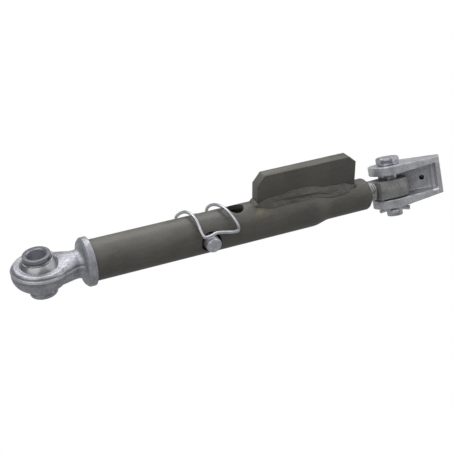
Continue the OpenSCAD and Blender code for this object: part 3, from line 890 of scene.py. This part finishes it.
thread_low, thread_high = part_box("threaded_rod")
thread_zinc = bright_zinc("thread_zinc", rough=0.50, low=THREAD_DARK, high=THREAD_LIGHT)
thread = grown(
    placed("rolled_thread_rod", bpy.data.meshes.new("rolled_thread_rod")),
    thread_tree(thread_zinc),
    {"Start": thread_low.x, "Length": thread_high.x - thread_low.x},
)
hand_over(outward(thread), thread_zinc, "spindle", "threaded_rod")


# The pivot eye: steel, forged on the end of the rod and drafted both ways from its parting
# line, left in a warm grey finish and bored for the clevis pin.
WARM_DARK = (0.185, 0.184, 0.182)
WARM_LIGHT = (0.330, 0.328, 0.324)
CLEVIS_BORE_R = 10.08 * MM
clevis_joint = next(joint for joint in frame["joints"] if joint["name"] == "clevis_swing")
CLEVIS_AT = Vector(clevis_joint["pos_m"])
CLEVIS_UP = Vector(clevis_joint["axis"]).normalized()


def trued(piece, centre, axis, radius, reach, half=1.0):
    """Sets a bore's wall exactly on its radius: what lies less than reach outside it, and up to
    half a length each way along the axis."""
    for vertex in piece.data.vertices:
        across = vertex.co - centre
        height = across.dot(axis)
        across -= axis * height
        if abs(height) < half and radius * 0.5 < across.length < radius + reach:
            vertex.co += across * (radius / across.length - 1.0)


def warm_forging():
    """A forging's own warm grey skin, cloudy and fine grained."""
    finish = Finish("warm_forging", Metallic=0.35, IOR=1.5)
    clouds = finish.at.noise(60, 4).step(0.34, 0.66)
    fine = finish.at.noise(380, 3).step(0.3, 0.7)
    finish.feed(
        Base_Color=(clouds * 0.5 + fine * 0.5).colour(WARM_DARK, WARM_LIGHT),
        Roughness=0.55 - fine * 0.12,
    )
    finish.relief(fine * 0.6 + finish.at.noise(1400, 2) * 0.4, 0.0002)
    return finish.material


pivot_skin = warm_forging()
pivot = forged("pivot_eye_forged", "pivot_eye", pivot_skin, voxel=0.6 * MM, rounds=4,
               depth=0.15 * MM)
trued(pivot, CLEVIS_AT, CLEVIS_UP, CLEVIS_BORE_R, reach=0.7 * MM)
hand_over(pivot, pivot_skin, "spindle", "pivot_eye")


# The clevis bracket: drop forged steel with two ears, two flanges and a slanted web, shot
# blasted, zinc plated and drilled. It hangs on the clevis pin.
BRACKET_DARK = (0.375, 0.380, 0.410)
BRACKET_LIGHT = (0.625, 0.630, 0.670)
HOLE_R = 3.0 * MM
# Painted shade, nearly black, inside the blind web hole.
HOLE_SHADE_EDGE, HOLE_SHADE_FROM, HOLE_SHADE_TO = 0.4 * MM, 5.0 * MM, 6.0 * MM
CLEVIS_ROLL, WEB_ANGLE, BRACKET_RISE = 23.0, 33.0, 2.6
SLOPE_HALF = 19.0
SLOPE_LOW = ((49.0, 27.0), (60.5, 27.0), (60.5, 21.5), (57.0, 23.0))
SLOPE_HIGH = ((55.0, 25.0), (60.5, 25.0), (60.5, 16.5), (59.6, 16.5))
POCKET_HALF = 16.0 * MM
BRACKET_TURN = (
    Matrix.Rotation(radians(-CLEVIS_ROLL), 4, "X") @ Matrix.Rotation(radians(-WEB_ANGLE), 4, "Z")
)
ALONG_WEB = BRACKET_TURN @ Vector((1, 0, 0))
web_hole = next(mount for mount in frame["record"]["mounts"] if mount["name"] == "web_hole")
HOLE_AT, HOLE_AXIS = Vector(web_hole["pos_m"]), Vector(web_hole["axis"]).normalized()
# A painted highlight on the slope from web to lip, and painted shade on the lip's face.
LIP_FROM = 10.5 * MM
LIP_FACE = 58.9 * MM - (HOLE_AT - CLEVIS_AT).dot(ALONG_WEB)
LIP_HIGHLIGHT = (0.93, 0.935, 0.96)


def bracket_zinc():
    """Dull zinc with a painted highlight on the slope up to the lip, painted shade on the lip's
    face, and painted shade, nearly black, in the blind hole."""
    finish = dull_zinc("bracket_zinc", BRACKET_DARK, BRACKET_LIGHT)
    arm = finish.at.moved(HOLE_AT)
    deep = arm.dot(HOLE_AXIS)
    # Painted shade, nearly black, inside the blind hole.
    in_hole = 1 - arm.cross(HOLE_AXIS).length().step(HOLE_R, HOLE_R + HOLE_SHADE_EDGE)
    hole_shade = in_hole * (1 - deep.absolute().step(HOLE_SHADE_FROM, HOLE_SHADE_TO))
    lip = arm.dot(ALONG_WEB)
    between = line_at(arm.dot(CLEVIS_UP), 0.0, POCKET_HALF, 2.0 * MM)
    pocket = deep.step(2.0 * MM, 5.0 * MM) * between
    face = lip.step(LIP_FACE, LIP_FACE + 0.8 * MM)
    # Painted highlight on the slope up to the lip.
    slope_highlight = lip.step(LIP_FROM, LIP_FROM + 3.0 * MM) * (1 - face) * pocket
    # Painted shade on the lip's face, towards dark zinc.
    wear_and_painted_light = (face * pocket * 0.35).colour(slope_highlight.colour(finish.base, LIP_HIGHLIGHT), ZINC_DARK)
    finish.feed(Base_Color=(hole_shade * 0.96).colour(wear_and_painted_light, GREASE_AND_SHADE))
    return finish.material


def lip_slope(name, section):
    """Part of the slope from web to lip, from its section in the bracket's frame, in mm."""
    return hull(name, [
        CLEVIS_AT + BRACKET_TURN @ (Vector((along, out, z)) * MM)
        for z in (BRACKET_RISE - SLOPE_HALF, BRACKET_RISE + SLOPE_HALF)
        for along, out in section
    ])


bracket_skin = bracket_zinc()
slopes = (lip_slope("slope_low", SLOPE_LOW), lip_slope("slope_high", SLOPE_HIGH))
bracket = forged("bracket_forged", "clevis_bracket", bracket_skin, voxel=0.72 * MM, rounds=3,
                 depth=0.16 * MM, lumps=80.0, added=slopes)
trued(bracket, CLEVIS_AT, CLEVIS_UP, CLEVIS_BORE_R, reach=0.8 * MM)
trued(bracket, HOLE_AT, HOLE_AXIS, HOLE_R, reach=0.7 * MM, half=4.4 * MM)
hand_over(bracket, bracket_skin, "clevis", "clevis_bracket")


# The clevis pin: turned from hexagon steel bar, with a round collar under its head and a cross
# hole at its foot, bright zinc plated. It goes through the bracket's ears and the pivot eye.
PIN_SHADE, PIN_BRIGHT = (0.30, 0.31, 0.34), (0.47, 0.48, 0.51)
PIN_EDGE = 0.4 * MM
HEAD_UP = 29.5 * MM
COLLAR_R = 13.6 * MM
COLLAR_T = 1.3 * MM
COLLAR_ROUND = 0.3 * MM


def washer(at, up, radius, thickness):
    """A flat round ring about an axis."""
    inner, top, rim = radius * 0.5, thickness, COLLAR_ROUND
    ring = turned("washer", [
        (inner, 0), (inner, top), (radius - rim, top), (radius, top - rim), (radius, rim),
        (radius - rim, 0),
    ], 64)
    ring.data.transform(Matrix.Translation(at) @ up.to_track_quat("Z", "Y").to_matrix().to_4x4())
    return ring


clevis_pin = broken_edges("clevis_pin_turned", "clevis_pin", PIN_EDGE)
collar = washer(CLEVIS_AT + CLEVIS_UP * HEAD_UP, CLEVIS_UP, COLLAR_R, COLLAR_T)
settled(merged(clevis_pin, collar), crease=16)
pin_bright = bright_zinc("clevis_pin_zinc", rough=0.16, low=PIN_SHADE, high=PIN_BRIGHT)
hand_over(clevis_pin, pin_bright, "clevis_pin", "clevis_pin")


# The cotter pin: half round steel wire folded on itself and bright zinc plated. It is pushed
# through the clevis pin's foot and its legs are bent apart.
cotter_zinc = bright_zinc("cotter_zinc")
cotter = forged("cotter_bent", "cotter_pin", cotter_zinc, voxel=0.28 * MM, rounds=3,
                depth=0.04 * MM, lumps=200.0)
hand_over(cotter, cotter_zinc, "clevis_pin", "cotter_pin")


# The camera stands before the arm's front, 30 degrees up and 25 degrees towards the ball.
ELEVATION, AZIMUTH, ROLL = radians(30.35), radians(25.14), radians(0.41)
AIM = Vector((0.22808, 0.0, 0.00202))
DISTANCE = 1.21388
FOCAL_LENGTH, SENSOR = 81.226, 36

look = Vector((sin(AZIMUTH) * cos(ELEVATION), cos(AZIMUTH) * cos(ELEVATION), -sin(ELEVATION)))
level = Vector((cos(AZIMUTH), -sin(AZIMUTH), 0))
rise = level.cross(look)
across = cos(ROLL) * level - sin(ROLL) * rise
over = cos(ROLL) * rise + sin(ROLL) * level
lens = bpy.data.cameras.new("camera")
lens.lens = FOCAL_LENGTH
lens.sensor_width = SENSOR
camera = bpy.data.objects.new("camera", lens)
facing = Matrix((across, over, -look)).transposed().to_4x4()
camera.matrix_world = Matrix.Translation(AIM - look * DISTANCE) @ facing
bpy.context.scene.collection.objects.link(camera)
bpy.context.scene.camera = camera


# The studio: a floor and walls that the camera sees plain white, and metal mirrors only dimly.
# A pale ceiling and three large soft lamps, left, right and behind, light the arm.
FLOOR_HALF = 4.0
FLOOR_GAP = 0.0002
FLOOR_DARK, FLOOR_LIGHT = (0.18, 0.18, 0.18), (0.19, 0.19, 0.19)
MIRRORED_WHITE = 0.13
MIRRORED_FLOOR = 0.45
WALL_LIGHT, CEILING_LIGHT = 0.06, 0.50
WALL_END, CEILING_START = 0.05, 0.95


def background_share(tree, mirrored):
    """How much of the plain white background a ray sees: directly, or mirrored in metal."""
    path = tree.nodes.new("ShaderNodeLightPath")
    seen, glossy, clear = (
        Flow(tree, path.outputs[name])
        for name in ("Is Camera Ray", "Is Glossy Ray", "Is Transmission Ray")
    )
    return seen.maths("MINIMUM", seen + (glossy + clear) * mirrored, 1.0)


def studio_floor():
    """A plain floor just under the arm, white where it is seen."""
    mesh = bpy.data.meshes.new("floor")
    h, z = FLOOR_HALF, cad_low.z - FLOOR_GAP
    mesh.from_pydata([(-h, -h, z), (h, -h, z), (h, h, z), (-h, h, z)], [], [(0, 1, 2, 3)])
    finish = Finish("studio_floor", Roughness=0.8, Specular_IOR_Level=0.1)
    finish.feed(Base_Color=finish.at.noise(3, 2).colour(FLOOR_DARK, FLOOR_LIGHT))
    tree = finish.material.node_tree
    glow = finish.at.node("ShaderNodeEmission", None, {"Color": (1, 1, 1, 1), "Strength": 1.0})
    mixed = glow.node("ShaderNodeMixShader", None, {
        0: background_share(tree, MIRRORED_FLOOR),
        1: Flow(tree, finish.shader.outputs[0]),
        2: glow,
    })
    tree.links.new(mixed.socket, tree.nodes["Material Output"].inputs[0])
    floor = placed("floor", mesh)
    dress(floor, finish.material)


def studio_world():
    """White where it is seen, and to everything else a dim room under a pale ceiling."""
    world = bpy.data.worlds.new("studio")
    bpy.context.scene.world = world
    world.use_nodes = True
    tree = world.node_tree
    share = background_share(tree, MIRRORED_WHITE)
    way = Flow(tree, tree.nodes.new("ShaderNodeTexCoord").outputs["Generated"])
    upward = way.part(2).step(WALL_END, CEILING_START)
    room = upward * (CEILING_LIGHT - WALL_LIGHT) + WALL_LIGHT
    sky = tree.nodes["Background"]
    sky.inputs["Color"].default_value = (1, 1, 1, 1)
    tree.links.new((share + (1 - share) * room).socket, sky.inputs["Strength"])


def lamp(name, at, aim, size, power):
    """A large soft lamp turned towards a point."""
    light = bpy.data.lights.new(name, "AREA")
    light.shape = "RECTANGLE"
    light.size, light.size_y = size
    light.energy = power
    piece = bpy.data.objects.new(name, light)
    piece.location = at
    piece.rotation_euler = (Vector(aim) - Vector(at)).to_track_quat("-Z", "Y").to_euler()
    bpy.context.scene.collection.objects.link(piece)


studio_floor()
studio_world()
lamp("left_softbox", (-0.75, -0.50, 1.20), (0.1, 0, 0), (1.7, 1.7), 9.5)
lamp("right_softbox", (1.70, -0.16, 1.00), (0.2, 0, 0), (2.5, 2.5), 17)
lamp("rear_softbox", (0.15, 0.85, 1.20), (0.22, 0, 0), (1.8, 1.1), 15)
bpy.context.scene.view_settings.view_transform = "Standard"
